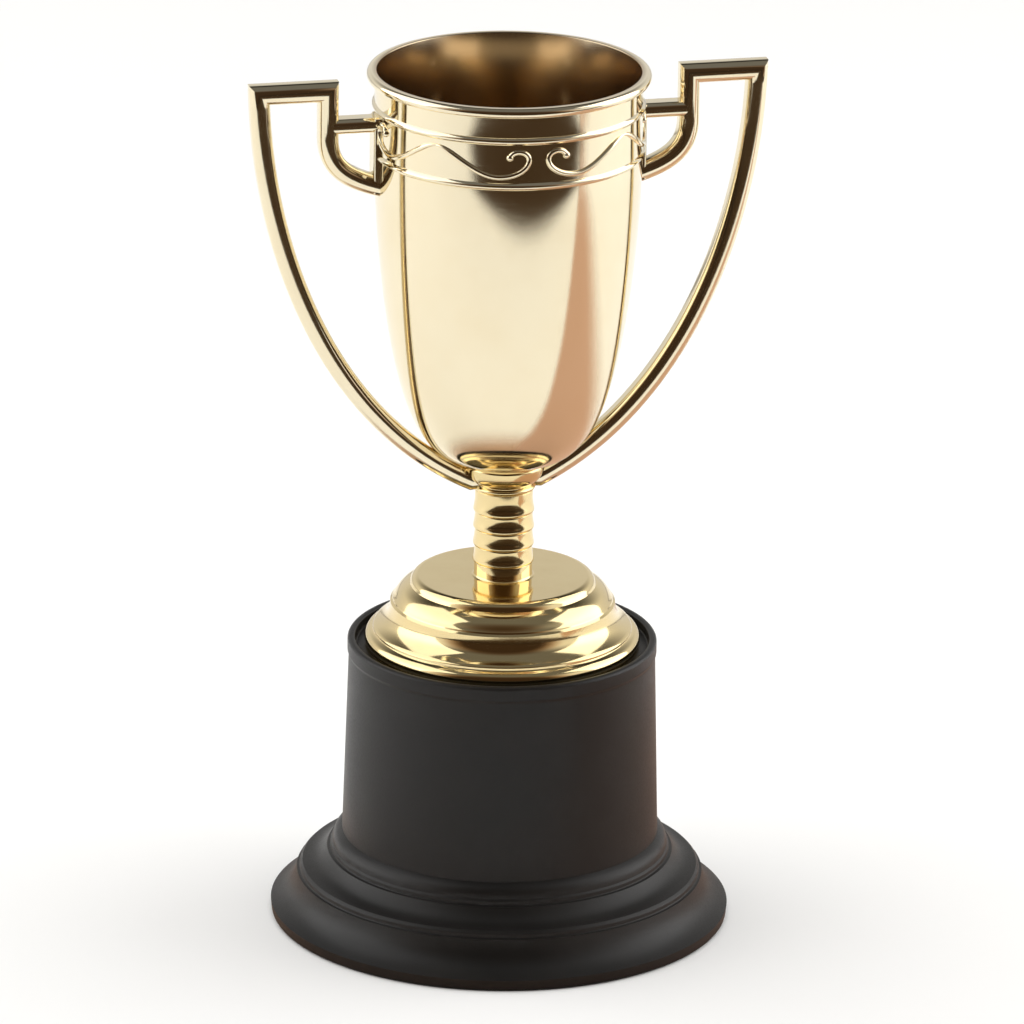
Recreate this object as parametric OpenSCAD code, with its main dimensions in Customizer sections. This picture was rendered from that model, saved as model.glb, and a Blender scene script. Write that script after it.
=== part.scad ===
// Small presentation cup on a round plinth, built as a stack held by one central threaded rod.
// Millimetres, +Z up, origin at the centre of the face that the plinth stands on.
// The handles lie in the XZ plane, one on each side of the bowl.

/* [Plinth] */
// Radius of the plinth where it stands
base_r = 26.1; // [25.5:0.1:27.5]
// Height of the plinth to the top of its rim
base_h = 33.1; // [31:0.1:36]
// Radius of the plinth's column just under its rim
column_top_r = 17.4; // [17.3:0.05:17.6]
// Radius of the column where it meets the skirt
column_foot_r = 18.0; // [17.7:0.05:18.4]
// Height of the moulded skirt
skirt_h = 9.7; // [9:0.1:10.5]
// Wall of the plinth moulding
base_wall = 1.7; // [1.4:0.1:2]
// Depth of the seat that the gold foot stands in
seat_depth = 1.1; // [0.8:0.1:1.6]
// Number of ribs under the plinth's top
rib_count = 4; // [3:1:6]

/* [Foot] */
// Radius of the foot at its lowest ring
foot_r = 15.6; // [15.2:0.1:16]
// Height of the foot
foot_h = 8.5; // [8:0.1:9.5]
// Radius of the flat disc on top of the foot
disc_r = 9.5; // [9:0.1:9.8]
// Wall of the foot moulding
foot_wall = 1.2; // [1:0.1:1.4]

/* [Stem and collar] */
// Radius of the stem between its rings
stem_r = 3.3; // [3.25:0.05:3.5]
// Height of the stem
stem_h = 10.3; // [10:0.1:11]
// How far each ring stands out of the stem
ring_proud = 0.2; // [0.1:0.05:0.25]
// Number of rings round the stem
ring_count = 4; // [2:1:4]
// Height of the collar between stem and bowl
collar_h = 3.4; // [3.2:0.1:4]
// Largest radius of the collar
collar_r = 4.6; // [4.5:0.05:5]

/* [Bowl] */
// Radius of the bowl's straight upper wall
bowl_r = 15; // [14.8:0.05:15.1]
// Height of the bowl from collar to rim
bowl_h = 45.8; // [45:0.1:47]
// Wall of the bowl
bowl_wall = 1; // [0.9:0.05:1.2]
// Radius of the rolled rim's outer edge
rim_r = 15.9; // [15.8:0.05:16.1]
// How far the two beads stand out of the wall
bead_proud = 0.3; // [0.2:0.05:0.4]

/* [Handles] */
// Distance from the axis to the middle of the handle's outer bar
reach = 28.35; // [27.5:0.05:29.5]
// Distance from the axis to the middle of the step-down bar
step_r = 20.6; // [20.3:0.05:21.2]
// Width of the bars, seen from the front
bar_w = 2.3; // [2:0.1:2.5]
// Width of the short cross bar
cross_w = 1.7; // [1.5:0.1:1.8]
// Thickness of the handles, front to back
bar_d = 2.8; // [2.4:0.1:2.9]

/* [Fastenings] */
// Diameter of the threaded rod
rod_d = 3; // [3:0.05:3.1]
// Width across the flats of the nuts
nut_af = 5.5; // [5.4:0.05:5.6]
// Height of the hexagon nut
nut_h = 2.4; // [2.2:0.1:2.6]
// Outer radius of the flat washers
washer_r = 3.5; // [3.4:0.05:3.6]

/* [Hidden] */

$fn = 96;
gap = 0.15;                               // clearance round the rod and between spigot and socket
hair = 0.05;                              // clearance where a handle is shaped to the bowl
eps = 0.01;                               // how far one solid of a union runs into the next
hole_r = rod_d / 2 + gap;

foot_z = base_h - seat_depth;
disc_z = foot_z + foot_h;
collar_z = disc_z + stem_h;
bowl_z = collar_z + collar_h;
rim_z = bowl_z + bowl_h;

gold = [0.86, 0.74, 0.47];
warm_gold = [0.82, 0.72, 0.38];
black = [0.12, 0.12, 0.12];
zinc = [0.72, 0.73, 0.75];

// Points of an arc about [cx, cz], from angle a0 to a1, in n steps
function arc(cx, cz, r, a0, a1, n = 6) =
    [for (i = [0:n]) let (a = a0 + (a1 - a0) * i / n) [cx + r * cos(a), cz + r * sin(a)]];

// From p to q in a shallow bow, on the right of the way from p to q where bulge is positive
function ogee(p, q, bulge, n = 6) =
    [for (i = [0:n])
        let (t = i / n, d = q - p, side = [-d[1], d[0]])
        p + d * t - side * bulge * sin(180 * t)];

function bezier(p, t) =
    p[0] * pow(1 - t, 3) + p[1] * 3 * t * pow(1 - t, 2) + p[2] * 3 * t * t * (1 - t) + p[3] * pow(t, 3);

// ---------------------------------------------------------------- plinth

skirt_wall = 1.6;
tread_r = base_r - 0.1;                   // where the skirt meets the table
low_step_r = base_r - 3.3;                // groove between the skirt's two swells
low_step_z = skirt_h - 4.6;
high_step_r = base_r - 6.8;               // groove above the upper swell
high_step_z = skirt_h - 2;
rim_bead_h = 1.6;                         // height of the slightly thicker band under the rim
rim_bead_t = 0.15;
rim_round = 0.3;
seat_r = foot_r + 1;
plinth_top_t = 2;
plinth_top_z = foot_z - plinth_top_t;     // underside of the plinth's top
plinth_boss_r = 4.4;
plinth_boss_z = 16;
rib_t = 1.2;
rib_z = 8;                                // lower edge of the ribs

function plinth_outline() = concat(
    [[0, 0], [tread_r - 0.25, 0], [tread_r, 0.3]],
    ogee([base_r, 1.4], [low_step_r + 0.3, low_step_z - 0.1], 0.16),
    [[low_step_r, low_step_z], [low_step_r, low_step_z + 0.4]],
    ogee([low_step_r - 0.3, low_step_z + 0.8], [high_step_r + 0.4, high_step_z - 0.1], 0.14),
    [[high_step_r, high_step_z], [high_step_r, high_step_z + 0.5]],
    ogee([high_step_r - 0.2, high_step_z + 0.7], [column_foot_r, skirt_h], -0.16),
    [[column_top_r, base_h - rim_bead_h - 0.5], [column_top_r + rim_bead_t, base_h - rim_bead_h]],
    arc(column_top_r + rim_bead_t - rim_round, base_h - rim_round, rim_round, 0, 90, 3),
    [[0, base_h]]);

module plinth_hollow() {
    rotate_extrude()
        polygon([[0, -1], [tread_r - skirt_wall, -1], [base_r - skirt_wall, 1.2],
                 [low_step_r - skirt_wall, low_step_z - 0.5], [high_step_r - 1.4, high_step_z - 1.1],
                 [column_foot_r - base_wall, skirt_h],
                 [column_top_r - base_wall, plinth_top_z], [0, plinth_top_z]]);
}

module plinth_ribs() {
    rib_start = plinth_boss_r - 0.4;
    rib_end = column_top_r - base_wall / 2;
    for (i = [0:rib_count - 1])
        rotate([0, 0, 45 + i * 360 / rib_count])
            translate([rib_start, -rib_t / 2, rib_z])
                cube([rib_end - rib_start, rib_t, plinth_top_z - rib_z + eps]);
}

module base_plinth() {
    color(black)
        difference() {
            union() {
                difference() {
                    rotate_extrude() polygon(plinth_outline());
                    plinth_hollow();
                }
                plinth_ribs();
                translate([0, 0, plinth_boss_z])
                    cylinder(r = plinth_boss_r, h = plinth_top_z - plinth_boss_z + eps);
            }
            translate([0, 0, foot_z]) cylinder(r = seat_r, h = seat_depth + 1);
            translate([0, 0, plinth_boss_z - 1]) cylinder(r = hole_r, h = base_h);
        }
}

// ---------------------------------------------------------------- foot

swell_r = foot_r - 0.85;                  // lower swell, above the rolled edge
groove_r = disc_r + 2.95;                 // groove between the two swells
foot_boss_r = 4.4;
foot_top_t = 1.4;
socket_r = 2.7;
socket_depth = 0.9;

function foot_outline() = concat(
    [[0, foot_z], [foot_r, foot_z]],
    arc(foot_r - 0.85, foot_z + 1.1, 0.9, -10, 80, 4),
    [[swell_r, foot_z + 2.1]],
    ogee([swell_r, foot_z + 2.5], [groove_r + 0.15, foot_z + 5.5], 0.16),
    [[groove_r, foot_z + 5.7]],
    ogee([groove_r - 0.15, foot_z + 5.9], [disc_r + 1, disc_z - 0.9], -0.1),
    arc(disc_r, disc_z - 0.9, 0.9, 15, 90, 4),
    [[0, disc_z]]);

module foot() {
    color(warm_gold)
        difference() {
            rotate_extrude() polygon(foot_outline());
            difference() {
                rotate_extrude()
                    polygon([[0, foot_z - 1], [foot_r - foot_wall, foot_z - 1],
                             [foot_r - foot_wall, foot_z + 1.6], [swell_r - 1.35, foot_z + 2.2],
                             [groove_r - 1.35, foot_z + 5.2], [disc_r - foot_wall, disc_z - foot_top_t],
                             [0, disc_z - foot_top_t]]);
                translate([0, 0, foot_z]) cylinder(r = foot_boss_r, h = foot_h);
            }
            translate([0, 0, foot_z - 1]) cylinder(r = hole_r, h = foot_h + 2);
            translate([0, 0, disc_z - socket_depth]) cylinder(r = socket_r, h = socket_depth + 1);
        }
}

// ---------------------------------------------------------------- stem and collar

spigot_r = socket_r - hair;
spigot_h = socket_depth - 0.1;
ring_pitch = 2;
ring_first = 2;                           // height of the lowest ring above the disc

// A ring with a short curl under it and a long slope above it
function stem_ring(z) =
    [[stem_r, z - 0.45], [stem_r + ring_proud * 0.7, z - 0.35], [stem_r + ring_proud, z - 0.1],
     [stem_r + ring_proud, z + 0.1], [stem_r + ring_proud * 0.6, z + 0.6], [stem_r, z + 1.4]];

function stem_outline() = concat(
    [[0, disc_z], [stem_r + ring_proud, disc_z], [stem_r, disc_z + 0.4]],
    [for (k = [0:ring_count - 1]) for (p = stem_ring(disc_z + ring_first + k * ring_pitch)) p],
    [[stem_r, collar_z], [0, collar_z]]);

module stem() {
    color(warm_gold)
        difference() {
            union() {
                rotate_extrude() polygon(stem_outline());
                translate([0, 0, disc_z - spigot_h]) cylinder(r = spigot_r, h = spigot_h + eps);
                translate([0, 0, collar_z - eps]) cylinder(r = spigot_r, h = spigot_h + eps);
            }
            translate([0, 0, disc_z - 2]) cylinder(r = hole_r, h = stem_h + 4);
        }
}

bowl_seat_r = 4.3;
tenon_r = 3.2;                            // how near the axis a handle's tenon reaches
tenon_z = collar_z + 0.8;
tenon_h = 1.5;

// A small bead, a neck, and a bulge under the bowl
function collar_outline(grow = 0) = concat(
    [[0, collar_z], [stem_r + grow, collar_z]],
    [for (i = [1:3]) [stem_r + 0.25 * sin(45 * i) + grow, collar_z + 0.2 * i]],
    ogee([stem_r + grow, collar_z + 0.8], [collar_r + grow, bowl_z - 0.8], 0.1),
    arc(collar_r - 0.4 + grow, bowl_z - 0.5, 0.4, 0, 60, 3),
    [[bowl_seat_r - 0.1 + grow, bowl_z], [0, bowl_z]]);

module collar() {
    color(warm_gold)
        difference() {
            rotate_extrude() polygon(collar_outline());
            translate([0, 0, collar_z - 1]) cylinder(r = hole_r, h = collar_h + 2);
            translate([0, 0, collar_z - 1]) cylinder(r = socket_r, h = socket_depth + 1);
            translate([0, 0, bowl_z - socket_depth]) cylinder(r = socket_r, h = socket_depth + 1);
            for (turn = [0, 180])
                rotate([0, 0, turn])
                    translate([tenon_r - hair, -bar_d / 2 - hair, tenon_z - hair])
                        cube([collar_r, bar_d + 2 * hair, tenon_h + 2 * hair]);
        }
}

// ---------------------------------------------------------------- bowl

bead_half = 0.4;
upper_bead = 3.9;                         // below the rim
lower_bead = 9.1;                         // below the rim
shoulder = 10;                            // below the rim, where the wall starts to curve in
floor_t = 2;
mouth_r = bowl_r - 0.2;                   // inside the rolled rim
lip_r = (rim_r - mouth_r) / 2;
peg_r = 0.7;
peg_levels = [rim_z - 5.4, rim_z - 12.3];

// Radius of the bowl's curved part at height z, for a wall of radius r standing on height low
function bowl_curve(z, r, low) =
    let (t = (rim_z - shoulder - z) / (rim_z - shoulder - low))
    r * pow(1 - pow(t, 1.6), 0.238);

// The curved part from just above height low up to the shoulder, closer together where it is steep
function bowl_side(r, low, n = 14) =
    [for (i = [0:n])
        let (t = sin(82 - 82 * i / n), z = rim_z - shoulder - t * (rim_z - shoulder - low))
        [bowl_curve(z, r, low), z]];

function bead(z, r) =
    [for (i = [0:4]) [r + bead_proud * sin(45 * i), z - bead_half + bead_half * i / 2]];

function bowl_outline(grow = 0) = concat(
    [[0, bowl_z], [bowl_seat_r + grow, bowl_z]],
    bowl_side(bowl_r + grow, bowl_z),
    bead(rim_z - lower_bead, bowl_r + grow),
    bead(rim_z - upper_bead, bowl_r + grow),
    [[bowl_r + grow, rim_z - lip_r * 1.8]],
    arc(rim_r - lip_r + grow, rim_z - lip_r, lip_r, -100, 90, 8),
    [[0, rim_z]]);

// Radius inside the bowl at height z: the curve below the shoulder, and a slight taper above it
function inside_r(z) =
    z < rim_z - shoulder ? bowl_curve(z, bowl_r - bowl_wall, bowl_z + floor_t)
    : bowl_r - bowl_wall + (mouth_r - bowl_r + bowl_wall) * (z - rim_z + shoulder) / shoulder;

function bowl_inside() = concat(
    [[0, bowl_z + floor_t], [4.6, bowl_z + floor_t]],
    bowl_side(bowl_r - bowl_wall, bowl_z + floor_t),
    [[mouth_r, rim_z - lip_r]],
    [[mouth_r, rim_z + 1], [0, rim_z + 1]]);

module bowl() {
    color(gold)
        difference() {
            union() {
                rotate_extrude() polygon(bowl_outline());
                translate([0, 0, bowl_z - spigot_h]) cylinder(r = spigot_r, h = spigot_h + eps);
            }
            rotate_extrude() polygon(bowl_inside());
            translate([0, 0, bowl_z - 2]) cylinder(r = hole_r, h = floor_t + 4);
            for (z = peg_levels)
                translate([0, 0, z])
                    rotate([0, 90, 0])
                        cylinder(r = peg_r + hair, h = 2 * rim_r + 4, center = true);
        }
}

// ---------------------------------------------------------------- handles

bar_z = rim_z - 1.4;                      // middle of the top bar
cross_z = peg_levels[0];
loop_top = rim_z - 6.8;                   // where the step-down bar starts to turn in
strap_t = 0.65;
chamfer = 0.45;
peg_head_r = 1.15;
peg_head_t = 0.5;

// How far out the head of a peg at height z starts, so that it lies just inside the wall
function peg_head_x(z) = sqrt(pow(inside_r(z), 2) - pow(peg_head_r, 2)) - 2 * hair - peg_head_t;

// Middle line of the main bar: up from the collar, along the top, down the step and round the loop
function main_bar() = concat(
    [for (i = [0:14])
        bezier([[collar_r - 0.7, collar_z + 1.2], [20, rim_z - 40.2], [27.9, rim_z - 20], [reach, bar_z]],
               i / 14)],
    [[step_r, bar_z]],
    [for (i = [0:10])
        bezier([[step_r, loop_top], [step_r, loop_top - 3.4], [step_r - 2.1, peg_levels[1] + 0.7],
                [bowl_r - 1, peg_levels[1] - 0.6]], i / 10)]);

function unit(v) = v / norm(v);
function left_of(v) = [-v[1], v[0]];

// The line p moved sideways by w, with mitred corners
function beside(p, w) =
    [for (i = [0:len(p) - 1])
        let (a = unit(p[min(i + 1, len(p) - 1)] - p[min(i, len(p) - 2)]),
             b = unit(p[max(i, 1)] - p[max(i - 1, 0)]),
             m = unit(left_of(a) + left_of(b)))
        p[i] + m * w / (m * left_of(a))];

function reversed(p) = [for (i = [len(p) - 1:-1:0]) p[i]];

// A bar of width w and thickness d along the line p, standing in the XZ plane
module flat_bar(p, w, d) {
    rotate([90, 0, 0])
        translate([0, 0, -d / 2])
            linear_extrude(d)
                polygon(concat(beside(p, w / 2), reversed(beside(p, -w / 2))));
}

// The same bar with stepped edges
module bar(p, w) {
    flat_bar(p, w, bar_d - 2 * chamfer);
    flat_bar(p, w - 2 * chamfer, bar_d);
}

module handle() {
    difference() {
        union() {
            bar(main_bar(), bar_w);
            bar([[bowl_r - 1, cross_z], [step_r, cross_z]], cross_w);
            translate([bowl_r - 1, -bar_d / 2, peg_levels[1] - 1])
                cube([strap_t + 1, bar_d, cross_z - peg_levels[1] + 1.8]);
        }
        rotate_extrude() polygon(bowl_outline(hair));
        rotate_extrude() polygon(collar_outline(hair));
    }
    translate([tenon_r, -bar_d / 2, tenon_z])
        cube([collar_r + 0.6 - tenon_r, bar_d, tenon_h]);
    for (z = peg_levels)
        translate([peg_head_x(z), 0, z])
            rotate([0, 90, 0]) {
                cylinder(r = peg_head_r, h = peg_head_t);
                cylinder(r = peg_r, h = bowl_r + 0.9 - peg_head_x(z));
            }
}

module handle_right() {
    color(gold) handle();
}

module handle_left() {
    color(gold) mirror([1, 0, 0]) handle();
}

// ---------------------------------------------------------------- fastenings

washer_t = 0.5;
lock_t = 0.8;
lock_slit = 0.5;
cap_dome_r = nut_af / 2;
cap_hex_h = nut_h;
rod_low = plinth_boss_z - washer_t - lock_t - nut_h - 1;
cap_z = bowl_z + floor_t + washer_t;
rod_top = cap_z + cap_hex_h;

module hex_prism(h) {
    cylinder(r = nut_af / 2 / cos(30), h = h, $fn = 6);
}

module central_rod() {
    color(zinc) translate([0, 0, rod_low]) cylinder(d = rod_d, h = rod_top - rod_low);
}

module flat_washer(z) {
    translate([0, 0, z])
        difference() {
            cylinder(r = washer_r, h = washer_t);
            translate([0, 0, -1]) cylinder(r = hole_r, h = washer_t + 2);
        }
}

module bowl_washer() {
    color(gold) flat_washer(bowl_z + floor_t);
}

module bowl_cap_nut() {
    color(gold)
        difference() {
            union() {
                translate([0, 0, cap_z]) hex_prism(cap_hex_h);
                intersection() {
                    translate([0, 0, cap_z + cap_hex_h]) sphere(r = cap_dome_r);
                    translate([0, 0, cap_z + cap_hex_h - 1])
                        cylinder(r = cap_dome_r + 1, h = cap_dome_r + 2);
                }
            }
            translate([0, 0, cap_z - 1]) cylinder(d = rod_d, h = cap_hex_h + 1.5);
        }
}

module base_washer() {
    color(zinc) flat_washer(plinth_boss_z - washer_t);
}

module base_lock_washer() {
    low = plinth_boss_z - washer_t - lock_t;
    color(zinc)
        difference() {
            translate([0, 0, low]) cylinder(r = nut_af / 2, h = lock_t);
            translate([0, 0, low - 1]) cylinder(r = hole_r, h = lock_t + 2);
            translate([0, -lock_slit / 2, low - 1]) cube([nut_af, lock_slit, lock_t + 2]);
        }
}

module base_nut() {
    low = plinth_boss_z - washer_t - lock_t - nut_h;
    color(zinc)
        difference() {
            translate([0, 0, low]) hex_prism(nut_h);
            translate([0, 0, low - 1]) cylinder(d = rod_d, h = nut_h + 2);
        }
}

base_plinth();
foot();
stem();
collar();
bowl();
handle_left();
handle_right();
central_rod();
bowl_washer();
bowl_cap_nut();
base_washer();
base_lock_washer();
base_nut();
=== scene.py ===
"""Small gold cup on a black plinth: its looks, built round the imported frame.

Lengths are millimetres until a piece is finished, and then metres. The handles lie in the XZ plane, and the
front of the cup faces -Y.
"""

import math

import bmesh
import bpy
from mathutils import Matrix, Vector


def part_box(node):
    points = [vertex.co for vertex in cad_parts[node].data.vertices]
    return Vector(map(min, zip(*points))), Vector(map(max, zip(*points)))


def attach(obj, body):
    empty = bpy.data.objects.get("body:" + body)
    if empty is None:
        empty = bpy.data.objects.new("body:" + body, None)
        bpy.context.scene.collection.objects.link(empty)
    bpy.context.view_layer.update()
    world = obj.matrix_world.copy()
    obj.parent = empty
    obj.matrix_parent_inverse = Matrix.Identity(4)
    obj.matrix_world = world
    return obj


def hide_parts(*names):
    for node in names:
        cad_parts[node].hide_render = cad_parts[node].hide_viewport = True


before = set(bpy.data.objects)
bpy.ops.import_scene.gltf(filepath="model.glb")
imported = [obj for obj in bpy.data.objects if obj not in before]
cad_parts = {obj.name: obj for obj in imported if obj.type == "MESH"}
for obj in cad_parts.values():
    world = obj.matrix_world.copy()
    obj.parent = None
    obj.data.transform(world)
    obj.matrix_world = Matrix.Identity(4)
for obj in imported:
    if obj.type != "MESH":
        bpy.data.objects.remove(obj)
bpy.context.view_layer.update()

MM = 0.001


def span(node):
    """Lowest and highest corner of a frame node, in millimetres."""
    low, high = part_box(node)
    return low / MM, high / MM


# ---------------------------------------------------------------- sizes, from the frame

PLINTH_HIGH = span("base_plinth")[1]
FOOT_LOW, FOOT_HIGH = span("foot")
COLLAR_LOW, COLLAR_HIGH = span("collar")
BOWL_HIGH = span("bowl")[1]
HANDLE_LOW, HANDLE_HIGH = span("handle_right")
ROD_LOW, ROD_HIGH = span("central_rod")

BASE_R, BASE_H = PLINTH_HIGH.x, PLINTH_HIGH.z
FOOT_Z, DISC_Z = FOOT_LOW.z, FOOT_HIGH.z
COLLAR_Z, BOWL_Z = COLLAR_LOW.z, COLLAR_HIGH.z
RIM_Z, RIM_R = BOWL_HIGH.z, BOWL_HIGH.x
BOWL_R = RIM_R - 0.9                      # straight wall, between the two beads
STEM_R = 3.3
COLLAR_R = 4.6
HOLE_R = 1.65                             # clearance hole for the rod
SPIGOT_R = 2.65                           # the turned parts centre on each other with these
SPIGOT_H = 0.8
SOCKET_R = 2.7
SOCKET_H = 0.9
BAR_D = HANDLE_HIGH.y - HANDLE_LOW.y      # handle, front to back
BAR_W = 2.3                               # handle, seen from the front
REACH = HANDLE_HIGH.x - BAR_W / 2         # middle of the handle's outer bar
BAR_Z = HANDLE_HIGH.z - BAR_W / 2         # middle of the handle's top bar

# ---------------------------------------------------------------- outlines


def arc(x, z, r, start, end, steps=8):
    """Points of an arc about (x, z), with angles in degrees."""
    angles = [math.radians(start + (end - start) * i / steps) for i in range(steps + 1)]
    return [(x + r * math.cos(a), z + r * math.sin(a)) for a in angles]


def bow(p, q, sag, steps=10):
    """Points from p to q on a curve that bows by sag times its length, to the left where sag is positive."""
    dx, dz = q[0] - p[0], q[1] - p[1]
    points = []
    for i in range(steps + 1):
        t = i / steps
        out = sag * math.sin(math.pi * t)
        points.append((p[0] + dx * t - dz * out, p[1] + dz * t + dx * out))
    return points


def rounded(corners, closed=True, steps=4):
    """The outline through its corners: a sharp one is (x, z), and a rounded one is (x, z, radius)."""
    outline = []
    count = len(corners)
    for i, corner in enumerate(corners):
        if len(corner) == 2 or (not closed and i in (0, count - 1)):
            outline.append(tuple(corner[:2]))
            continue
        here = Vector(corner[:2])
        before = Vector(corners[i - 1][:2]) - here
        after = Vector(corners[(i + 1) % count][:2]) - here
        half = before.angle(after) / 2
        reach = min(corner[2] / math.tan(half), before.length * 0.49, after.length * 0.49)
        centre = here + (before.normalized() + after.normalized()).normalized() * (reach / math.cos(half))
        first = here + before.normalized() * reach - centre
        last = here + after.normalized() * reach - centre
        turn = math.atan2(first.x * last.y - first.y * last.x, first.dot(last))
        for k in range(steps + 1):
            spoke = Matrix.Rotation(turn * k / steps, 2) @ first
            outline.append((centre.x + spoke.x, centre.y + spoke.y))
    return outline


def bezier(a, b, c, d, steps):
    """Points of a cubic curve, without its last one."""
    points = []
    for i in range(steps):
        t = i / steps
        weights = ((1 - t) ** 3, 3 * t * (1 - t) ** 2, 3 * t * t * (1 - t), t ** 3)
        points.append(tuple(sum(w * p[k] for w, p in zip(weights, (a, b, c, d))) for k in (0, 1)))
    return points


# ---------------------------------------------------------------- mesh work


def wire(bm, points, closed):
    """A line of vertices and edges through points."""
    verts = [bm.verts.new(p) for p in points]
    pairs = list(zip(verts, verts[1:])) + ([(verts[-1], verts[0])] if closed else [])
    return verts, [bm.edges.new(pair) for pair in pairs]


def lathe(bm, outline, steps=192, closed=True):
    """Turns an outline of (radius, height) points about Z: an eighth is spun, then doubled three times."""
    others = set(bm.verts)
    verts, edges = wire(bm, [(r, 0, z) for r, z in outline], closed)
    bmesh.ops.spin(bm, geom=verts + edges, cent=(0, 0, 0), axis=(0, 0, 1), dvec=(0, 0, 0),
                   angle=math.tau / 8, steps=steps // 8, use_merge=False, use_duplicate=False)
    for turn in (45, 90, 180):
        turned = [v for v in bm.verts if v not in others]
        turned += [f for f in bm.faces if f.verts[0] not in others]
        made = bmesh.ops.duplicate(bm, geom=turned)["geom"]
        bmesh.ops.rotate(bm, cent=(0, 0, 0), matrix=Matrix.Rotation(math.radians(turn), 3, "Z"),
                         verts=[g for g in made if isinstance(g, bmesh.types.BMVert)])
    bmesh.ops.remove_doubles(bm, verts=bm.verts, dist=1e-4)


def sweep(bm, section, stations):
    """Pulls a closed section of (side, depth) points along its stations, which are matrices, and caps it."""
    verts, edges = wire(bm, [stations[0] @ Vector((x, y, 0)) for x, y in section], closed=True)
    bm.faces.new(verts)
    for before, after in zip(stations, stations[1:]):
        made = bmesh.ops.extrude_edge_only(bm, edges=edges)["geom"]
        verts = [g for g in made if isinstance(g, bmesh.types.BMVert)]
        edges = [g for g in made if isinstance(g, bmesh.types.BMEdge)]
        bmesh.ops.transform(bm, matrix=after @ before.inverted(), verts=verts)
        edges = [e for e in edges if e.verts[0] in verts and e.verts[1] in verts]
    bmesh.ops.contextual_create(bm, geom=edges)


def mitred(points):
    """Stations along a line of (x, z) points in the XZ plane, square at its ends and mitred between."""
    line = [Vector((x, 0, z)) for x, z in points]
    depth = Vector((0, 1, 0))
    stations = []
    for i, here in enumerate(line):
        into = (line[max(i, 1)] - line[max(i, 1) - 1]).normalized()
        out_of = (line[min(i, len(line) - 2) + 1] - line[min(i, len(line) - 2)]).normalized()
        along = (into + out_of).normalized()
        side = along.cross(depth)
        side /= side.dot(out_of.cross(depth))
        stations.append(Matrix((side, depth, along)).transposed().to_4x4())
        stations[-1].translation = here
    return stations


def bar_section(width, depth, radius):
    """A bar's section: a rectangle with well rounded corners."""
    w, d = width / 2, depth / 2
    return rounded([(x, y, radius) for x, y in ((w, d), (-w, d), (-w, -d), (w, -d))], steps=7)


def slice_off(bm, point, normal):
    """Cuts the closed mesh at a plane, drops the side that the normal points to, and closes the cut."""
    geom = bm.verts[:] + bm.edges[:] + bm.faces[:]
    cut = bmesh.ops.bisect_plane(bm, geom=geom, dist=1e-5, plane_co=point, plane_no=normal, clear_outer=True)
    bmesh.ops.edgeloop_fill(bm, edges=[g for g in cut["geom_cut"] if isinstance(g, bmesh.types.BMEdge)])


def cut_flats(bm, r):
    """Cuts six flats on a turned blank, at a distance r from its middle."""
    for k in range(6):
        normal = Matrix.Rotation(math.radians(60 * k), 3, "Z") @ Vector((0, 1, 0))
        slice_off(bm, normal * r, normal)


def finish_piece(bm, name, finish, nodes, crease=32, even=True):
    """Makes the piece an object in metres, which rides on the body and stands for those frame nodes.

    Edges bent by more than crease degrees are sharp. An even piece is shaded by its larger faces.
    """
    bmesh.ops.remove_doubles(bm, verts=bm.verts, dist=1e-4)
    bmesh.ops.recalc_face_normals(bm, faces=bm.faces)
    bmesh.ops.scale(bm, vec=(MM, MM, MM), verts=bm.verts)
    for face in bm.faces:
        face.smooth = True
    for edge in bm.edges:
        edge.smooth = edge.calc_face_angle(math.pi) < math.radians(crease)
    mesh = bpy.data.meshes.new(name)
    bm.to_mesh(mesh)
    bm.free()
    mesh.materials.append(finish)
    piece = bpy.data.objects.new(name, mesh)
    bpy.context.scene.collection.objects.link(piece)
    if even:
        weighted = piece.modifiers.new("even_shading", "WEIGHTED_NORMAL")
        weighted.keep_sharp = True
    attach(piece, "root")
    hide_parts(*nodes)


# ---------------------------------------------------------------- shader nodes


class Wire:
    """An output socket of a shader tree. Arithmetic on it adds Math nodes."""

    def __init__(self, tree, socket=None):
        self.tree = tree
        self.socket = socket

    def add(self, kind, inputs=None, out=0, **settings):
        """Adds a node of that type, sets it, then gives its inputs their values or links."""
        node = self.tree.nodes.new(kind)
        for name, value in settings.items():
            setattr(node, name, value)
        for name, value in (inputs or {}).items():
            if isinstance(value, Wire):
                self.tree.links.new(value.socket, node.inputs[name])
            else:
                node.inputs[name].default_value = value
        return Wire(self.tree, node.outputs[out] if len(node.outputs) else None)

    def maths(self, operation, a, b):
        """Adds a Math node for two wires or numbers."""
        return self.add("ShaderNodeMath", {0: a, 1: b}, operation=operation)

    def __add__(self, other):
        return self.maths("ADD", self, other)

    def __radd__(self, other):
        return self.maths("ADD", other, self)

    def __sub__(self, other):
        return self.maths("SUBTRACT", self, other)

    def __rsub__(self, other):
        return self.maths("SUBTRACT", other, self)

    def __mul__(self, other):
        return self.maths("MULTIPLY", self, other)

    def __rmul__(self, other):
        return self.maths("MULTIPLY", other, self)

    def step(self, low, high, start=0.0, end=1.0):
        """Goes smoothly from start to end as the value goes from low to high."""
        return self.add("ShaderNodeMapRange",
                        {"Value": self, "From Min": low, "From Max": high, "To Min": start, "To Max": end},
                        interpolation_type="SMOOTHSTEP")


def blank_finish(name, **constants):
    """A new material, its main shader with constants set on its sockets, and a wire to build from."""
    material = bpy.data.materials.new(name)
    material.use_nodes = True
    tree = material.node_tree
    shader = tree.nodes["Principled BSDF"]
    for socket, value in constants.items():
        shader.inputs[socket.replace("_", " ")].default_value = value
    return material, shader, Wire(tree)


def mix(wires, factor, a, b):
    """The colour between a and b."""
    return wires.add("ShaderNodeMix", {"Factor": factor, 6: a, 7: b}, out=2, data_type="RGBA")


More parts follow.
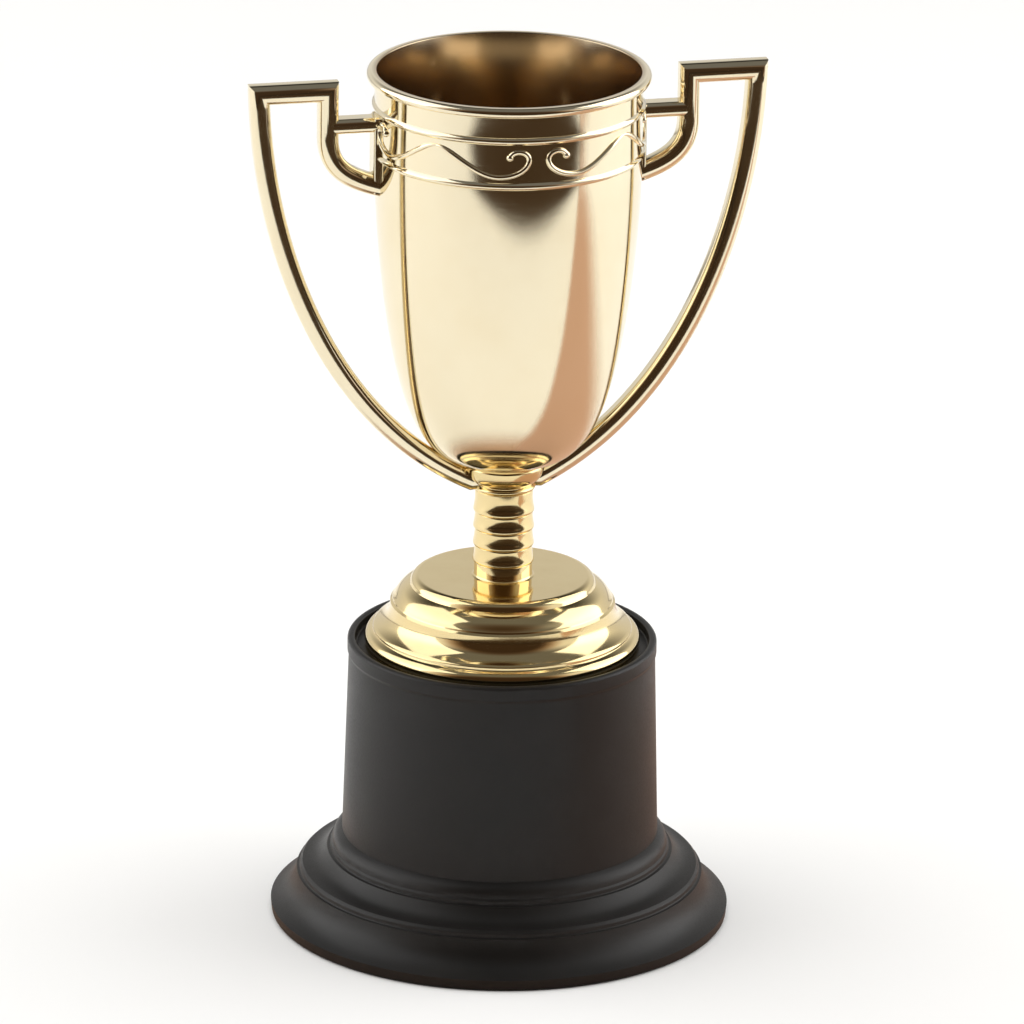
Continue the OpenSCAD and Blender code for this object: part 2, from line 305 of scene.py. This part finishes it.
def noise(wires, place, scale, detail=3.0, roughness=0.5, stretch=None):
    """Noise on the piece's own coordinates, in waves per metre, squeezed along each axis by stretch."""
    if stretch:
        place = wires.add("ShaderNodeMapping", {"Vector": place, "Scale": stretch})
    return wires.add("ShaderNodeTexNoise",
                     {"Vector": place, "Scale": scale, "Detail": detail, "Roughness": roughness})


def connect(wires, shader, links):
    """Links wires to sockets of the shader by name."""
    for socket, source in links.items():
        wires.tree.links.new(source.socket, shader.inputs[socket])


def plated(name, bright, deep, gloss=0.05):
    """Bright plating on moulded plastic: a mirror with faint waves and hairlines, and inside a cup a duller,
    browner colour that is painted shade for the hollow.
    """
    material, shader, wires = blank_finish(name, Metallic=1.0)
    place = wires.add("ShaderNodeTexCoord", out="Object")
    smear = noise(wires, place, 90.0, 4.0, 0.6)
    hairs = noise(wires, place, 700.0, 2.0, 0.5, stretch=(1.0, 1.0, 14.0))
    ripple = noise(wires, place, 160.0, 1.0, 0.4)
    orange_peel = noise(wires, place, 1600.0, 2.0, 0.5)
    dark = smear.step(0.35, 0.75, 0.0, 0.35)
    inside = wires.add("ShaderNodeAttribute", out="Fac", attribute_name="inside")
    # Inside the cup the colour turns to a dull brown: painted shade for the hollow.
    colour = mix(wires, inside, mix(wires, dark, (*bright, 1), (*deep, 1)), (0.57, 0.46, 0.31, 1))
    rough = smear.step(0.3, 0.8, gloss, gloss + 0.07) + hairs.step(0.62, 0.75, 0.0, 0.05) + inside * 0.1
    height = ripple * 0.35 + orange_peel * 0.02 + hairs * 0.006
    bump = wires.add("ShaderNodeBump", {"Height": height, "Strength": 0.25, "Distance": 0.0001})
    connect(wires, shader, {"Base Color": colour, "Roughness": rough, "Normal": bump})
    return material


def black_moulding():
    """Satin black plastic with a fine moulded grain and a little handling."""
    material, shader, wires = blank_finish("black_moulding", Specular_IOR_Level=0.33)
    place = wires.add("ShaderNodeTexCoord", out="Object")
    cloud = noise(wires, place, 60.0, 4.0, 0.6)
    grain = noise(wires, place, 4200.0, 3.0, 0.6)
    scuffs = noise(wires, place, 520.0, 3.0, 0.6, stretch=(1.0, 1.0, 6.0))
    colour = mix(wires, cloud.step(0.3, 0.7), (0.008, 0.0074, 0.007, 1), (0.013, 0.0115, 0.0105, 1))
    rough = cloud.step(0.3, 0.7, 0.36, 0.44) + grain.step(0.4, 0.7, 0.0, 0.06)
    rough = rough - scuffs.step(0.66, 0.8, 0.0, 0.1)
    height = grain * 0.5 + cloud * 0.5
    bump = wires.add("ShaderNodeBump", {"Height": height, "Strength": 0.35, "Distance": 0.00005})
    connect(wires, shader, {"Base Color": colour, "Roughness": rough, "Normal": bump})
    return material


def steel(name, bright, deep, gloss):
    """Plated steel with turning marks and a cloudy tarnish."""
    material, shader, wires = blank_finish(name, Metallic=1.0)
    place = wires.add("ShaderNodeTexCoord", out="Object")
    cloud = noise(wires, place, 700.0, 4.0, 0.65)
    marks = noise(wires, place, 900.0, 2.0, 0.5, stretch=(1.0, 1.0, 9.0))
    colour = mix(wires, cloud.step(0.35, 0.7), (*bright, 1), (*deep, 1))
    rough = cloud.step(0.3, 0.7, gloss, gloss + 0.14)
    height = marks + cloud * 0.4
    bump = wires.add("ShaderNodeBump", {"Height": height, "Strength": 0.3, "Distance": 0.00004})
    connect(wires, shader, {"Base Color": colour, "Roughness": rough, "Normal": bump})
    return material


GOLD = plated("gold_plate", (0.88, 0.785, 0.575), (0.83, 0.70, 0.46))
WARM_GOLD = plated("warm_gold_plate", (0.84, 0.68, 0.37), (0.74, 0.56, 0.26), gloss=0.06)
BLACK = black_moulding()
ZINC = steel("zinc_steel", (0.66, 0.68, 0.70), (0.50, 0.52, 0.55), 0.26)
SPRING = steel("spring_steel", (0.34, 0.34, 0.35), (0.24, 0.24, 0.25), 0.3)
GILT_STEEL = steel("gilt_steel", (0.86, 0.70, 0.38), (0.74, 0.56, 0.27), 0.18)

# ---------------------------------------------------------------- plinth

SKIRT_H = 9.7
SKIRT_WALL = 1.6
COLUMN_TOP_R = 17.4
COLUMN_FOOT_R = 18.0
COLUMN_WALL = 1.7
RIM_BAND_H = 1.6
RIM_BAND_T = 0.15
SEAT_R = FOOT_HIGH.x + 1
CEILING_Z = FOOT_Z - 2                    # underside of the top, inside the plinth
BOSS_R = 4.4
BOSS_Z = 16                               # lower face of the boss
RIB_T = 1.2
RIB_Z = 8                                 # lower edge of the ribs


def plinth():
    """Hollow moulding: stepped skirt, tapering column, seat for the foot, and a boss on four ribs inside."""
    low_r, low_z = BASE_R - 3.3, SKIRT_H - 4.6      # lower step of the skirt
    high_r, high_z = BASE_R - 6.8, SKIRT_H - 2      # upper step
    band_z = BASE_H - RIM_BAND_H
    band_r = COLUMN_TOP_R + RIM_BAND_T
    outside = [(BASE_R - SKIRT_WALL - 0.1, 0, 0.2), (BASE_R - 0.12, 0, 0.35)]
    outside += bow((BASE_R, 1.3), (low_r + 0.35, low_z - 0.05), 0.16)
    outside += [(low_r + 0.02, low_z, 0.15), (low_r, low_z + 0.5, 0.2)]
    outside += bow((low_r - 0.3, low_z + 0.8), (high_r + 0.4, high_z - 0.05), 0.14)
    outside += [(high_r + 0.02, high_z, 0.12), (high_r, high_z + 0.5, 0.2)]
    outside += bow((high_r - 0.2, high_z + 0.7), (COLUMN_FOOT_R, SKIRT_H + 0.3), -0.16)
    outside += [(COLUMN_TOP_R, band_z - 0.35, 0.5), (band_r, band_z, 0.2), (band_r, BASE_H, 0.4)]
    seat = [(SEAT_R, BASE_H, 0.3), (SEAT_R, FOOT_Z, 0.2), (HOLE_R, FOOT_Z, 0.1)]
    boss = [(HOLE_R, BOSS_Z, 0.2), (BOSS_R, BOSS_Z, 0.3), (BOSS_R, CEILING_Z, 0.6)]
    inside = [(COLUMN_TOP_R - COLUMN_WALL, CEILING_Z, 0.8), (COLUMN_FOOT_R - COLUMN_WALL, SKIRT_H, 1.0),
              (high_r - 1.4, high_z - 1.1, 0.8), (low_r - SKIRT_WALL, low_z - 0.5, 0.8),
              (BASE_R - SKIRT_WALL, 1.2, 0.6)]
    bm = bmesh.new()
    lathe(bm, rounded(outside + seat + boss + inside))
    first, last = BOSS_R - 0.3, COLUMN_TOP_R - COLUMN_WALL / 2
    rib_top = CEILING_Z + 0.3
    for k in range(4):
        made = bmesh.ops.create_cube(bm, size=1)["verts"]
        size = (last - first, RIB_T, rib_top - RIB_Z)
        middle = ((first + last) / 2, 0, (rib_top + RIB_Z) / 2)
        turned = Matrix.Rotation(math.radians(45 + 90 * k), 4, "Z")
        bmesh.ops.transform(bm, verts=made, matrix=turned @ Matrix.LocRotScale(middle, None, size))
        edges = list(dict.fromkeys(e for v in made for e in v.link_edges))
        bmesh.ops.bevel(bm, geom=edges, affect="EDGES", offset=0.25, segments=3, profile=0.5, material=-1)
    finish_piece(bm, "plinth_moulding", BLACK, ["base_plinth"])


plinth()

# ---------------------------------------------------------------- foot, stem and collar

RING_PROUD = 0.17
RING_GAP = 2


def foot():
    """Stepped foot: a rolled edge, two swells with a cut groove between them, and a flat raised disc."""
    r = FOOT_HIGH.x
    disc_r = 9.5
    groove_r, groove_z = 12.4, FOOT_Z + 5.6
    roof_z = DISC_Z - 1.4
    outside = [(r - 1.2, FOOT_Z, 0.1), (r - 0.05, FOOT_Z, 0.1)]
    outside += arc(r - 0.9, FOOT_Z + 1.1, 0.9, -40, 82, 12)
    outside += [(r - 0.95, FOOT_Z + 2.12, 0.1), (r - 0.95, FOOT_Z + 2.4, 0.15)]
    outside += bow((r - 1.05, FOOT_Z + 2.55), (groove_r + 0.35, groove_z - 0.2), 0.17, 14)
    outside += [(groove_r + 0.1, groove_z + 0.02, 0.12), (groove_r + 0.02, groove_z + 0.2, 0.12)]
    outside += bow((groove_r - 0.1, groove_z + 0.35), (disc_r + 1.05, DISC_Z - 0.95), -0.1, 10)
    outside += arc(disc_r + 0.05, DISC_Z - 0.95, 0.95, 12, 90, 10)
    hub = [(SOCKET_R, DISC_Z, 0.05), (SOCKET_R, DISC_Z - SOCKET_H, 0.1), (HOLE_R, DISC_Z - SOCKET_H, 0.1),
           (HOLE_R, FOOT_Z, 0.1), (BOSS_R, FOOT_Z, 0.2), (BOSS_R, roof_z, 0.4)]
    inside = [(disc_r - 1.2, roof_z, 0.4), (groove_r - 1.3, groove_z - 0.4, 0.6),
              (groove_r + 1, FOOT_Z + 2.2, 0.4), (r - 1.25, FOOT_Z + 1.6, 0.4)]
    bm = bmesh.new()
    lathe(bm, rounded(outside + hub + inside))
    finish_piece(bm, "stepped_foot", WARM_GOLD, ["foot"])


def stem_ring(z):
    """A ring with a short curl under it and a long slope above it."""
    curl_r = 0.3
    root = STEM_R - 0.03
    curl = arc(STEM_R + RING_PROUD - curl_r, z - 0.05, curl_r, -75, 10, 6)
    return [(root, z - 0.42)] + curl + bow(curl[-1], (root, z + 1.45), 0.02, 5)[1:]


def ring(z, r, proud, half, steps=8):
    """A rounded ring on a wall of radius r, which reaches half its height above and below z."""
    shares = [i / steps for i in range(steps + 1)]
    return [(r + proud * math.sin(math.pi * share), z - half + 2 * half * share) for share in shares]


def spigot(z, up):
    """The end of a turned part, from the rod's hole out to the wall, with the spigot that locates it."""
    end = z + SPIGOT_H * up
    points = [(HOLE_R, end, 0.1), (SPIGOT_R, end, 0.15), (SPIGOT_R, z, 0.02)]
    return points if up < 0 else points[::-1]


def stem():
    """Slim stem, flared at its foot, with four rings."""
    outside = spigot(DISC_Z, -1) + arc(STEM_R + 0.3, DISC_Z + 0.3, 0.3, 270, 180, 5)
    for k in range(4):
        outside += stem_ring(DISC_Z + RING_GAP * (k + 1))
    outside += [(STEM_R, COLLAR_Z, 0.05)] + spigot(COLLAR_Z, 1)
    bm = bmesh.new()
    lathe(bm, rounded(outside), 128)
    finish_piece(bm, "ringed_stem", WARM_GOLD, ["stem"])


def collar():
    """Collar between stem and bowl: a small bead, a neck and a bulge, with a socket at each end."""
    upper = BOWL_Z - SOCKET_H
    lower = COLLAR_Z + SOCKET_H
    sockets = [(SOCKET_R, BOWL_Z, 0.05), (SOCKET_R, upper, 0.1), (HOLE_R, upper, 0.05),
               (HOLE_R, lower, 0.05), (SOCKET_R, lower, 0.1), (SOCKET_R, COLLAR_Z, 0.05)]
    outside = [(STEM_R + 0.02, COLLAR_Z, 0.05)] + ring(COLLAR_Z + 0.42, STEM_R, 0.28, 0.36)
    outside += bow((STEM_R, COLLAR_Z + 0.82), (COLLAR_R, BOWL_Z - 0.6), -0.12, 14)[:-1]
    outside += arc(COLLAR_R - 0.45, BOWL_Z - 0.5, 0.45, -10, 70, 8)
    outside += [(4.2, BOWL_Z, 0.1)]
    bm = bmesh.new()
    lathe(bm, rounded(sockets + outside), 128)
    finish_piece(bm, "turned_collar", WARM_GOLD, ["collar"])


foot()
stem()
collar()

# ---------------------------------------------------------------- bowl

WALL = 1.0
FLOOR_T = 2.0
SHOULDER = 10                             # below the rim, where the wall starts to curve in
UPPER_BEAD = 3.9                          # below the rim
LOWER_BEAD = 9.1
BEAD_PROUD = 0.3
BEAD_HALF = 0.42                          # half of a bead's height
WAVE_HALF = 0.32                          # half of the raised line's width
WAVE_PROUD = 0.34
WAVE_ROOT = -0.15                         # how deep the raised line is set into the wall
CURL_R = 0.42                             # bead in the middle of a curl
MOUTH_R = BOWL_R - 0.2
LIP_R = (RIM_R - MOUTH_R) / 2


def side_r(r, depth):
    """Radius of the curved side of a cup of radius r, at a depth of 0 at the shoulder to 1 at the seat."""
    return r * (1 - depth ** 1.6) ** 0.238


def bowl_side(r, low, steps=60):
    """The curved side from the seat at height low up to the shoulder, closer together where it is steep."""
    top = RIM_Z - SHOULDER
    depths = [math.sin(math.radians(84 - 84 * i / steps)) for i in range(steps + 1)]
    return [(side_r(r, depth), top - depth * (top - low)) for depth in depths]


def mark_inside_shade(bm):
    """Marks the vertices inside the cup, where its finish paints shade."""
    shade_mark = bm.verts.layers.float.new("inside")
    top, low = RIM_Z - SHOULDER, BOWL_Z + FLOOR_T / 2
    thinning = 0.45                           # the middle of the wall moves out by this towards the rim
    for v in bm.verts:
        depth = min(max((top - v.co.z) / (top - low), 0), 1)
        middle_r = side_r(BOWL_R - WALL / 2, depth) + thinning * max(v.co.z - top, 0) / SHOULDER
        v[shade_mark] = 1.0 if v.co.xy.length < middle_r and v.co.z > low else 0.0


def wave_line():
    """One scroll of the raised line, as (round the wall, up) points from the middle of the band."""
    line = bezier((-11.78, 1.5), (-10.0, 1.5), (-7.0, -1.5), (-4.5, -1.5), 16)
    line += bezier((-4.5, -1.5), (-2.4, -1.5), (-0.9, -0.4), (-1.1, 0.7), 12)
    line += bezier((-1.1, 0.7), (-1.3, 1.6), (-2.9, 1.75), (-3.2, 0.8), 10)
    return line + [(-3.2, 0.8)]


def wave(bm, turn, flip):
    """Lays one scroll of half-round line on the wall, turned to its place."""
    line = [(flip * u / BOWL_R + math.radians(turn), v + RIM_Z - (UPPER_BEAD + LOWER_BEAD) / 2)
            for u, v in wave_line()]
    points = [Vector((BOWL_R * math.cos(a), BOWL_R * math.sin(a), z)) for a, z in line]
    stations = []
    for i, here in enumerate(points):
        along = (points[min(i + 1, len(points) - 1)] - points[max(i - 1, 0)]).normalized()
        out = Vector((here.x, here.y, 0)).normalized()
        side = along.cross(out).normalized()
        taper = min(1.0, 0.45 + 0.12 * i)
        stations.append(Matrix((side * taper, out * taper, along)).transposed().to_4x4())
        stations[-1].translation = here
    half_round = [(WAVE_HALF * x, WAVE_PROUD * y) for x, y in arc(0, 0, 1, 0, 180)]
    sweep(bm, half_round + [(-WAVE_HALF, WAVE_ROOT), (WAVE_HALF, WAVE_ROOT)], stations)
    bead = bmesh.ops.create_uvsphere(bm, u_segments=20, v_segments=12, radius=CURL_R)["verts"]
    bmesh.ops.translate(bm, verts=bead, vec=points[-1])


def straight_wall(*drops):
    """Points on the straight wall, that far below the rim, which keep its shading level between mouldings."""
    return [(BOWL_R, RIM_Z - drop) for drop in drops]


def bowl():
    """Thin-walled cup with a rolled lip, two beads, and a raised running scroll between them."""
    outside = spigot(BOWL_Z, -1) + [(4.25, BOWL_Z, 0.05)]
    outside += bowl_side(BOWL_R, BOWL_Z)
    outside += ring(RIM_Z - LOWER_BEAD, BOWL_R, BEAD_PROUD, BEAD_HALF, 10)
    outside += straight_wall(8.2, 6.5, 4.8)
    outside += ring(RIM_Z - UPPER_BEAD, BOWL_R, BEAD_PROUD, BEAD_HALF, 10)
    outside += straight_wall(2.4)
    outside += arc(RIM_R - LIP_R, RIM_Z - LIP_R, LIP_R, -125, 90, 24)
    inside = [(MOUTH_R, RIM_Z, 0.12), (MOUTH_R - 0.4, RIM_Z - SHOULDER / 2)]
    inside += bowl_side(BOWL_R - WALL, BOWL_Z + FLOOR_T)[::-1]
    inside += [(HOLE_R, BOWL_Z + FLOOR_T, 0.05)]
    bm = bmesh.new()
    for k in range(4):
        for flip in (1, -1):
            wave(bm, 90 * k, flip)
    lathe(bm, rounded(outside + inside), 240)
    mark_inside_shade(bm)
    finish_piece(bm, "cup", GOLD, ["bowl"], even=False)


bowl()

# ---------------------------------------------------------------- handles

STEP_R = 20.6                             # middle of the bar that steps down
CROSS_W = 1.7
CROSS_Z = RIM_Z - 5.4
PEG_R = 1.15                              # heads of the two pegs, inside the cup
LOOP_Z = RIM_Z - 12.3                     # where the loop meets the bowl
LOOP_TOP = RIM_Z - 6.8                    # where the step-down bar starts to turn in


def handle(name, node, side):
    """Squared bar: up from the collar, along the top, down the step and round the loop.

    A cross bar and a strap hold it to the wall, and two pegs have their heads inside the cup.
    """
    line = [(STEM_R - 0.7, COLLAR_Z + 1.4)]
    line += bezier((COLLAR_R - 0.7, COLLAR_Z + 1.3), (20, RIM_Z - 40.2), (27.9, RIM_Z - 20),
                   (REACH, BAR_Z), 40)
    line += [(REACH, BAR_Z), (STEP_R, BAR_Z)]
    line += bezier((STEP_R, LOOP_TOP), (STEP_R, LOOP_TOP - 3.4), (STEP_R - 2.1, LOOP_Z + 0.7),
                   (BOWL_R - 0.5, LOOP_Z - 0.45), 24)
    line += [(BOWL_R - 0.5, LOOP_Z - 0.45)]
    bm = bmesh.new()
    sweep(bm, bar_section(BAR_W, BAR_D, 1.05), mitred(line))
    cross = mitred([(BOWL_R - 0.5, CROSS_Z), (STEP_R, CROSS_Z)])
    sweep(bm, bar_section(CROSS_W, BAR_D - 0.1, 0.65), cross)
    strap = mitred([(BOWL_R + 0.1, LOOP_Z - 1.0), (BOWL_R + 0.1, CROSS_Z + 0.75)])
    sweep(bm, bar_section(1.0, BAR_D - 0.2, 0.3), strap)
    for z, wall_r in ((CROSS_Z, BOWL_R - 0.6), (LOOP_Z, BOWL_R - WALL)):
        head = bmesh.ops.create_uvsphere(bm, u_segments=32, v_segments=16, radius=PEG_R)["verts"]
        flat = Matrix.LocRotScale((wall_r - 0.1, 0, z), None, (0.4, 1, 1))
        bmesh.ops.transform(bm, verts=head, matrix=flat)
    if side < 0:
        bmesh.ops.scale(bm, vec=(-1, 1, 1), verts=bm.verts)
    finish_piece(bm, name, GOLD, [node])


handle("right_handle", "handle_right", 1)
handle("left_handle", "handle_left", -1)

# ---------------------------------------------------------------- fastenings

PITCH = 0.5
NUT_R = 5.5 / 2                           # middle of the nut to a flat
CORNER_R = NUT_R / math.cos(math.radians(30)) + 0.05
NUT_HOLE_R = ROD_HIGH.x - 0.05
CHAMFER = 0.25
BEVEL_H = 0.35                            # where a nut's corners are turned down


def rod():
    """Threaded rod: one turn of thread, doubled up to the full length, then faced off at both ends."""
    r = ROD_HIGH.x
    root = r - 0.3
    per_turn = 24
    low = ROD_LOW.z - 2 * PITCH
    bm = bmesh.new()
    thread = [(root, 0), (root, 0.08), (r, 0.26), (r, 0.32), (root, 0.5)]
    verts, edges = wire(bm, [(x, 0, low + z) for x, z in thread], closed=False)
    bmesh.ops.spin(bm, geom=verts + edges, cent=(0, 0, 0), axis=(0, 0, 1), dvec=(0, 0, PITCH / per_turn),
                   angle=math.tau, steps=per_turn, use_merge=False, use_duplicate=False)
    height = PITCH
    while low + height < ROD_HIGH.z + PITCH:
        made = bmesh.ops.duplicate(bm, geom=bm.verts[:] + bm.edges[:] + bm.faces[:])["geom"]
        copied = [g for g in made if isinstance(g, bmesh.types.BMVert)]
        bmesh.ops.translate(bm, vec=(0, 0, height), verts=copied)
        height *= 2
    bmesh.ops.remove_doubles(bm, verts=bm.verts, dist=1e-3)
    slice_off(bm, (0, 0, ROD_LOW.z), (0, 0, -1))
    slice_off(bm, (0, 0, ROD_HIGH.z), (0, 0, 1))
    finish_piece(bm, "threaded_rod", ZINC, ["central_rod"])


def washer(name, node, finish):
    """Flat washer with softened edges."""
    low, high = span(node)
    r = high.x
    bm = bmesh.new()
    section = [(HOLE_R, low.z, 0.08), (r, low.z, 0.15), (r, high.z, 0.15), (HOLE_R, high.z, 0.08)]
    lathe(bm, rounded(section), 96)
    finish_piece(bm, name, finish, [node])


def lock_washer():
    """Split spring washer: a square coil of nearly one turn, whose ends stand a little apart."""
    low, high = span("base_lock_washer")
    r = high.x
    rise = 0.14
    top = high.z - rise
    slit = math.radians(12)
    steps = 90
    section = rounded([(HOLE_R, low.z, 0.06), (r, low.z, 0.1), (r, top, 0.1), (HOLE_R, top, 0.06)])
    stations = []
    for i in range(steps + 1):
        turn = slit / 2 + (math.tau - slit) * i / steps
        lift = Matrix.Translation((0, 0, rise * i / steps))
        stations.append(lift @ Matrix.Rotation(turn, 4, "Z") @ Matrix.Rotation(math.pi / 2, 4, "X"))
    bm = bmesh.new()
    sweep(bm, section, stations)
    finish_piece(bm, "split_washer", SPRING, ["base_lock_washer"])


def nut():
    """Hexagon nut, chamfered on both faces."""
    low, high = span("base_nut")
    blank = [(NUT_HOLE_R + CHAMFER, low.z), (NUT_R - 0.1, low.z, 0.05), (CORNER_R, low.z + BEVEL_H),
             (CORNER_R, high.z - BEVEL_H), (NUT_R - 0.1, high.z, 0.05), (NUT_HOLE_R + CHAMFER, high.z),
             (NUT_HOLE_R, high.z - CHAMFER), (NUT_HOLE_R, low.z + CHAMFER)]
    bm = bmesh.new()
    lathe(bm, rounded(blank), 96)
    cut_flats(bm, NUT_R)
    finish_piece(bm, "hexagon_nut", ZINC, ["base_nut"], crease=20)


def cap_nut():
    """Domed nut in the bottom of the cup."""
    low, high = span("bowl_cap_nut")
    dome_r = NUT_R - 0.05
    dome_z = high.z - NUT_R
    hole_z = low.z + 2.9
    blank = [(0, hole_z), (NUT_HOLE_R, hole_z), (NUT_HOLE_R, low.z + CHAMFER), (NUT_HOLE_R + CHAMFER, low.z),
             (NUT_R - 0.1, low.z, 0.05), (CORNER_R, low.z + BEVEL_H), (CORNER_R, dome_z - BEVEL_H),
             (dome_r, dome_z, 0.2)]
    blank += arc(0, dome_z, dome_r, 4, 90, 20)
    bm = bmesh.new()
    lathe(bm, rounded(blank, closed=False), 96, closed=False)
    cut_flats(bm, NUT_R)
    finish_piece(bm, "cap_nut", GILT_STEEL, ["bowl_cap_nut"], crease=20)


rod()
washer("cup_washer", "bowl_washer", GILT_STEEL)
washer("boss_washer", "base_washer", ZINC)
lock_washer()
nut()
cap_nut()

# ---------------------------------------------------------------- studio

CAMERA_TURN = math.radians(13)            # the camera stands this far to the left of the cup's front
SHEET_W = 6.0                             # metres, for the floor and the cards over it


def studio_place(x, y, z):
    """A point given to the right of, behind and above the cup as the camera sees it, in metres."""
    return Matrix.Rotation(-CAMERA_TURN, 3, "Z") @ Vector((x, y, z))


def camera():
    """Long lens from the cup's left, looking down a little, leaning by less than a degree."""
    data = bpy.data.cameras.new("camera")
    data.sensor_width = 36
    data.lens = 342.4
    data.clip_start = 0.1
    data.clip_end = 20
    eye = bpy.data.objects.new("camera", data)
    bpy.context.scene.collection.objects.link(eye)
    eye.location = studio_place(0, -1.04, 0.4075)
    pitch, yaw, roll = 0.3329, 0.0009, 0.0131
    turned = Matrix.Rotation(-CAMERA_TURN - yaw, 3, "Z")
    tilted = Matrix.Rotation(math.pi / 2 - pitch, 3, "X")
    leaning = Matrix.Rotation(roll, 3, "Z")
    eye.rotation_euler = (turned @ tilted @ leaning).to_euler()
    bpy.context.scene.camera = eye


def clouded(wires, place, colour, fade):
    """A plain colour with a very faint cloud, where it is dimmed to fade."""
    cloud = noise(wires, place, 3.0, 2.0, 0.5)
    return mix(wires, cloud.step(0.3, 0.7), (*colour, 1), (*(c * fade for c in colour), 1))


def floor_paper():
    """Matt pale paper."""
    material, shader, wires = blank_finish("pale_floor", Specular_IOR_Level=0.1, Roughness=0.8)
    place = wires.add("ShaderNodeTexCoord", out="Object")
    connect(wires, shader, {"Base Color": clouded(wires, place, (0.9, 0.9, 0.89), 0.985)})
    return material


def sheet(name, material, height=0.0):
    """A level square sheet for the studio, at that height in metres, square to the camera."""
    half = SHEET_W / 2
    bm = bmesh.new()
    corners = ((-half, -half), (half, -half), (half, half), (-half, half))
    bm.faces.new([bm.verts.new(studio_place(x, y, height)) for x, y in corners])
    mesh = bpy.data.meshes.new(name)
    bm.to_mesh(mesh)
    bm.free()
    mesh.materials.append(material)
    obj = bpy.data.objects.new(name, mesh)
    bpy.context.scene.collection.objects.link(obj)
    return obj


def painted_shade_card(name, colour, height, edges, reach=(5, 6)):
    """A level sheet just over the floor that only reflections see: painted shade, a shadow or dark area laid
    on the floor.

    It fades out between the two distances of reach from the cup. Each edge is (x, y, heading, width): the
    card begins at that point, lies towards that heading, in degrees from the right, and takes that width to
    come up.
    """
    material, shader, wires = blank_finish(name, Specular_IOR_Level=0.1, Roughness=0.9)
    place = wires.add("ShaderNodeTexCoord", out="Object")
    distance = wires.add("ShaderNodeVectorMath", {0: place}, out="Value", operation="LENGTH")
    # How much painted shade covers the floor, fading with distance from the cup and across each edge.
    shade_cover = distance.step(*reach, 1.0, 0.0)
    for x, y, heading, width in edges:
        towards = studio_place(math.cos(math.radians(heading)), math.sin(math.radians(heading)), 0)
        start = studio_place(x, y, 0).dot(towards)
        along = wires.add("ShaderNodeVectorMath", {0: place, 1: tuple(towards)}, out="Value",
                          operation="DOT_PRODUCT")
        shade_cover = shade_cover * along.step(start, start + width)
    connect(wires, shader, {"Base Color": clouded(wires, place, colour, 0.97), "Alpha": shade_cover})
    card = sheet(name, material, height)
    card.visible_camera = False
    card.visible_diffuse = False
    card.visible_shadow = False


def studio_floor():
    """Pale floor, with a painted dark sheet for the unlit room beyond the table's front edge, and painted
    shadows of the cup in warm brown, round its foot and beside it.
    """
    sheet("floor", floor_paper())
    # Painted shadow: a warm brown ring round the plinth, the cup's shadow on the floor, seen only in
    # reflections.
    painted_shade_card("painted_shadow_near", (0.52, 0.34, 0.24), 0.0002, [], reach=(0.028, 0.055))
    # Painted shadow: the cup's long shadow in warm brown, lying to its right, seen only in reflections.
    painted_shade_card("painted_shadow_right", (0.56, 0.36, 0.27), 0.0003,
              [(0, -0.035, 67, 0.012), (0.19, 0.01, -131, 0.06), (0.0, 0.0, 0, 0.02)], reach=(0.2, 0.5))
    # Painted shade: a dark sheet for the unlit room beyond the table's front edge, seen only in reflections.
    painted_shade_card("painted_shade_front", (0.05, 0.03, 0.015), 0.0004, [(0, -0.205, -74, 0.045)])


def softbox(name, place, target, size, power, glossy=True):
    """A soft light in the studio, turned to its target."""
    data = bpy.data.lights.new(name, "AREA")
    data.shape = "RECTANGLE"
    data.size, data.size_y = size
    data.energy = power
    lamp = bpy.data.objects.new(name, data)
    bpy.context.scene.collection.objects.link(lamp)
    lamp.location = studio_place(*place)
    away = studio_place(*target) - lamp.location
    lamp.rotation_euler = away.to_track_quat("-Z", "Y").to_euler()
    lamp.visible_glossy = glossy


def surroundings():
    """Pale room behind and at the sides, dim overhead, dark on the camera's side, and white to the camera."""
    world = bpy.data.worlds.new("studio")
    bpy.context.scene.world = world
    world.use_nodes = True
    tree = world.node_tree
    tree.nodes.clear()
    wires = Wire(tree)
    direction = wires.add("ShaderNodeTexCoord", out="Generated")
    turned = wires.add("ShaderNodeMapping", {"Vector": direction, "Rotation": (0, 0, CAMERA_TURN)},
                       vector_type="VECTOR")
    away = wires.add("ShaderNodeSeparateXYZ", {0: turned}, out="Y")
    up = wires.add("ShaderNodeSeparateXYZ", {0: turned}, out="Z")
    behind = away.step(-0.8, -0.4)
    height = up.step(0.25, 0.75, 0.95, 0.12) - away.step(0.3, 0.9, 0.0, 0.25)
    light = behind * height + 0.05
    seen = wires.add("ShaderNodeLightPath", out="Is Camera Ray")
    strength = light + seen * (1.0 - light)
    tint = mix(wires, behind, (1.0, 0.6, 0.34, 1), (1.0, 0.985, 0.96, 1))
    colour = mix(wires, seen, tint, (1, 1, 1, 1))
    background = wires.add("ShaderNodeBackground", {"Color": colour, "Strength": strength})
    wires.add("ShaderNodeOutputWorld", {"Surface": background})


camera()
studio_floor()
surroundings()
softbox("left_softbox", (-0.62, 0.05, 0.42), (0, 0, 0.05), (0.8, 0.9), 3.0)
softbox("right_softbox", (0.6, 0.12, 0.3), (0.1, 0, 0.03), (0.6, 0.8), 2.6)
softbox("overhead", (0, 0.1, 1.3), (0, 0, 0), (1.2, 1.2), 12.2, glossy=False)
bpy.context.scene.view_settings.view_transform = "Standard"
bpy.context.scene.cycles.glossy_bounces = 12   # light crosses the inside of the cup about ten times
